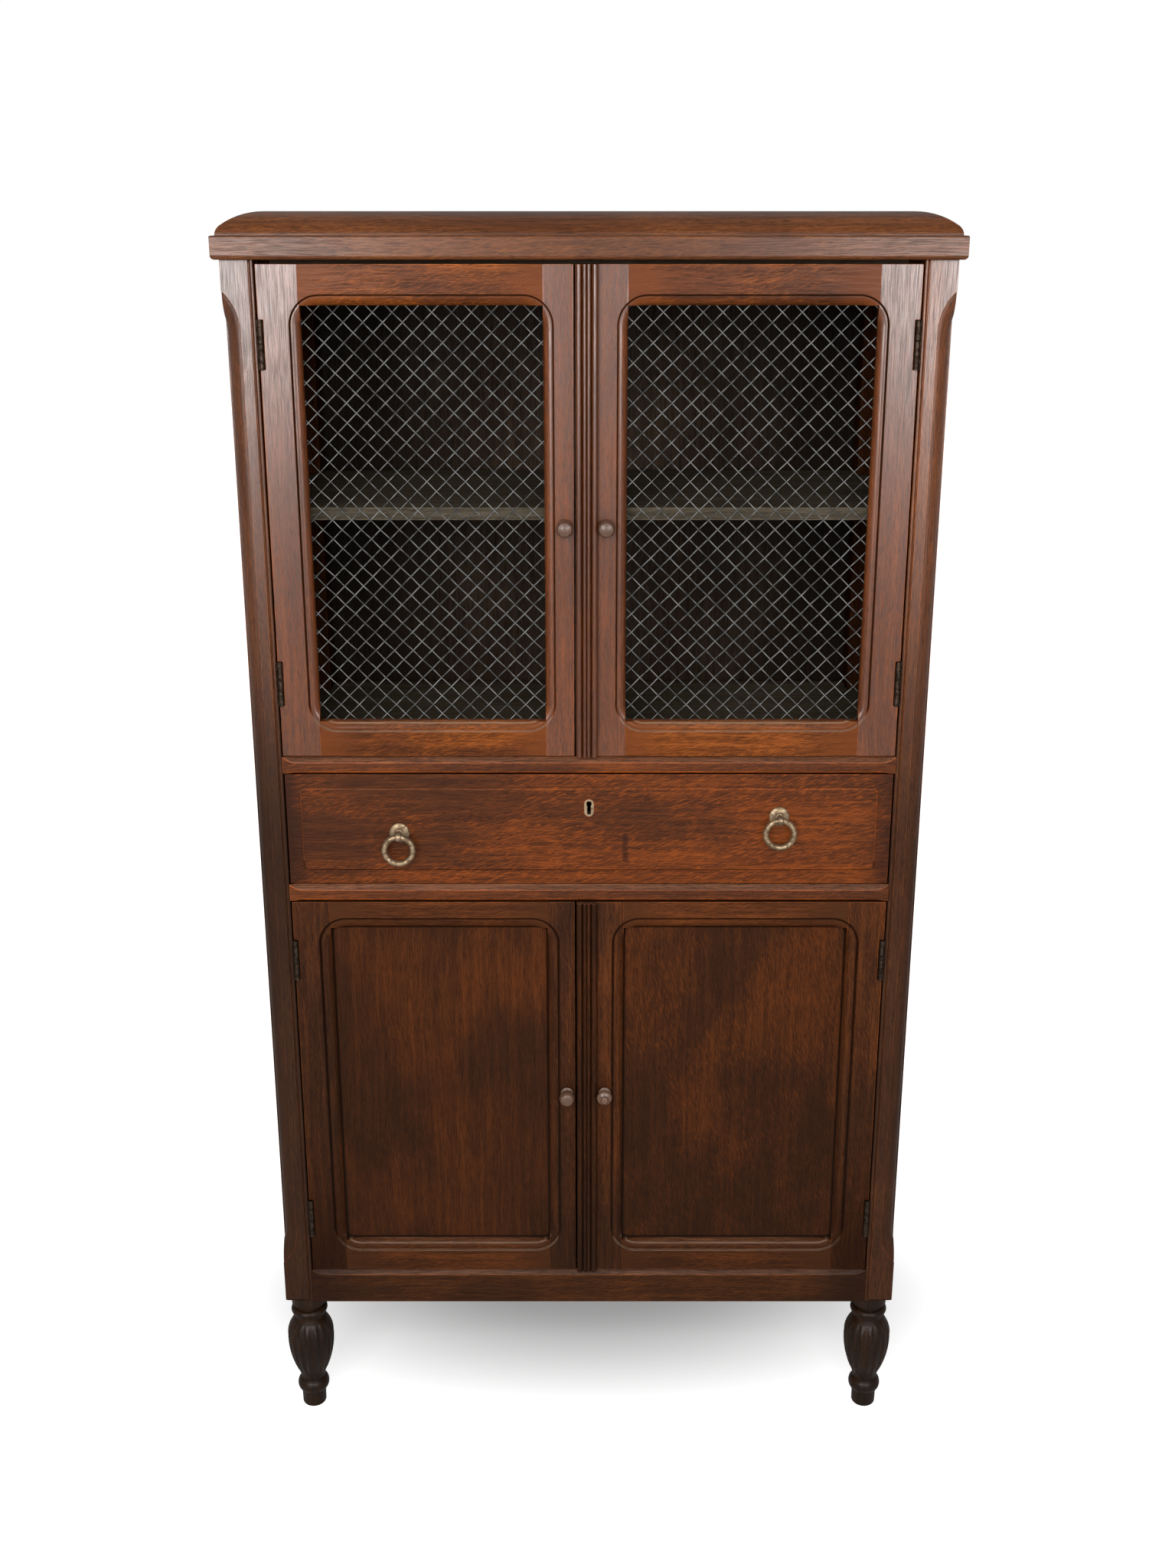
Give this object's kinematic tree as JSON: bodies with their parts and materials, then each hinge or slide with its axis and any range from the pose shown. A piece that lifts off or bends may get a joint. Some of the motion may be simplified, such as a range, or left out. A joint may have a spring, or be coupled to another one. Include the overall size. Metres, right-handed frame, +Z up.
{
  "type": "pie safe",
  "caption": "Tall pantry cupboard on turned fluted legs, with two wire-mesh doors above a drawer and two panelled doors below.",
  "frame": {"origin": "middle of the whole footprint, on the floor under the four feet", "axes": "+Z up, -Y out of the doors and the drawer towards the user, +X to the user's right"},
  "size_m": [0.918, 0.4316, 1.7345],
  "materials": {
    "oak_case": "worn dark reddish-brown oak, satin",
    "oak_doors": "worn dark oak, satin",
    "oak_drawer": "warmer brown oak, satin",
    "oak_legs": "very dark oak, satin",
    "inner_boards": "dull grey-brown unpolished boards",
    "panel_wood": "dark oak panels",
    "knob_wood": "worn lighter turned wood",
    "mesh_wire": "dull grey galvanised wire",
    "hinge_steel": "darkened steel",
    "pull_brass": "aged pale brass"
  },
  "bodies": {
    "case": {"back_boards": "inner_boards", "back_rails": "inner_boards", "base_rail": "oak_case", "bottom_board": "inner_boards", "cornice_band": "oak_case", "cornice_top": "oak_case", "drawer_rail": "oak_case", "drawer_runners": "inner_boards", "front_left_post": "oak_case", "front_right_post": "oak_case", "front_legs": "oak_legs", "rear_legs": "oak_legs", "header_rail": "oak_case", "hinge_pins": "hinge_steel", "post_hinge_leaves": "hinge_steel", "lower_shelf": "inner_boards", "upper_shelf": "inner_boards", "upper_floor": "inner_boards", "rear_posts": "oak_case", "shelf_battens": "inner_boards", "side_panels": "panel_wood", "side_rails": "oak_case", "waist_rail": "oak_case"},
    "upper_left_door": {"upper_left_door_hinge_stile": "oak_doors", "upper_left_door_meeting_stile": "oak_doors", "upper_left_door_rails": "oak_doors", "upper_left_door_wire_mesh": "mesh_wire", "upper_left_door_mesh_beads": "oak_doors", "upper_left_door_knob": "knob_wood", "upper_left_door_hinge_leaves": "hinge_steel"},
    "upper_right_door": {"upper_right_door_hinge_stile": "oak_doors", "upper_right_door_meeting_stile": "oak_doors", "upper_right_door_rails": "oak_doors", "upper_right_door_wire_mesh": "mesh_wire", "upper_right_door_mesh_beads": "oak_doors", "upper_right_door_knob": "knob_wood", "upper_right_door_hinge_leaves": "hinge_steel", "upper_right_door_astragal": "oak_doors"},
    "lower_left_door": {"lower_left_door_hinge_stile": "oak_doors", "lower_left_door_meeting_stile": "oak_doors", "lower_left_door_rails": "oak_doors", "lower_left_door_panel": "panel_wood", "lower_left_door_knob": "knob_wood", "lower_left_door_hinge_leaves": "hinge_steel"},
    "lower_right_door": {"lower_right_door_hinge_stile": "oak_doors", "lower_right_door_meeting_stile": "oak_doors", "lower_right_door_rails": "oak_doors", "lower_right_door_panel": "panel_wood", "lower_right_door_knob": "knob_wood", "lower_right_door_hinge_leaves": "hinge_steel", "lower_right_door_astragal": "oak_doors"},
    "drawer": {"drawer_front": "oak_drawer", "drawer_sides": "inner_boards", "drawer_back": "inner_boards", "drawer_bottom": "inner_boards", "drawer_lock": "hinge_steel", "keyhole_liner": "pull_brass", "pull_roses": "pull_brass"},
    "left_pull": {"left_pull_ring": "pull_brass"},
    "right_pull": {"right_pull_ring": "pull_brass"}
  },
  "joints": [
    {"name": "upper_left_door_hinge", "type": "hinge", "parent": "case", "child": "upper_left_door", "pos_m": [-0.4046, -0.19085, 1.3617], "axis": [0, 0, -1], "range_deg": [0, 170]},
    {"name": "upper_right_door_hinge", "type": "hinge", "parent": "case", "child": "upper_right_door", "pos_m": [0.4046, -0.19085, 1.3617], "axis": [0, 0, 1], "range_deg": [0, 170]},
    {"name": "lower_left_door_hinge", "type": "hinge", "parent": "case", "child": "lower_left_door", "pos_m": [-0.4046, -0.19085, 0.5452], "axis": [0, 0, -1], "range_deg": [0, 170]},
    {"name": "lower_right_door_hinge", "type": "hinge", "parent": "case", "child": "lower_right_door", "pos_m": [0.4046, -0.19085, 0.5452], "axis": [0, 0, 1], "range_deg": [0, 170]},
    {"name": "drawer_slide", "type": "slide", "parent": "case", "child": "drawer", "axis": [0, -1, 0], "range_m": [0, 0.27]},
    {"name": "left_pull_swing", "type": "hinge", "parent": "drawer", "child": "left_pull", "pos_m": [-0.256, -0.20785, 0.9385], "axis": [-1, 0, 0], "range_deg": [-20, 150]},
    {"name": "right_pull_swing", "type": "hinge", "parent": "drawer", "child": "right_pull", "pos_m": [0.256, -0.20785, 0.9615], "axis": [-1, 0, 0], "range_deg": [-20, 150]}
  ]
}
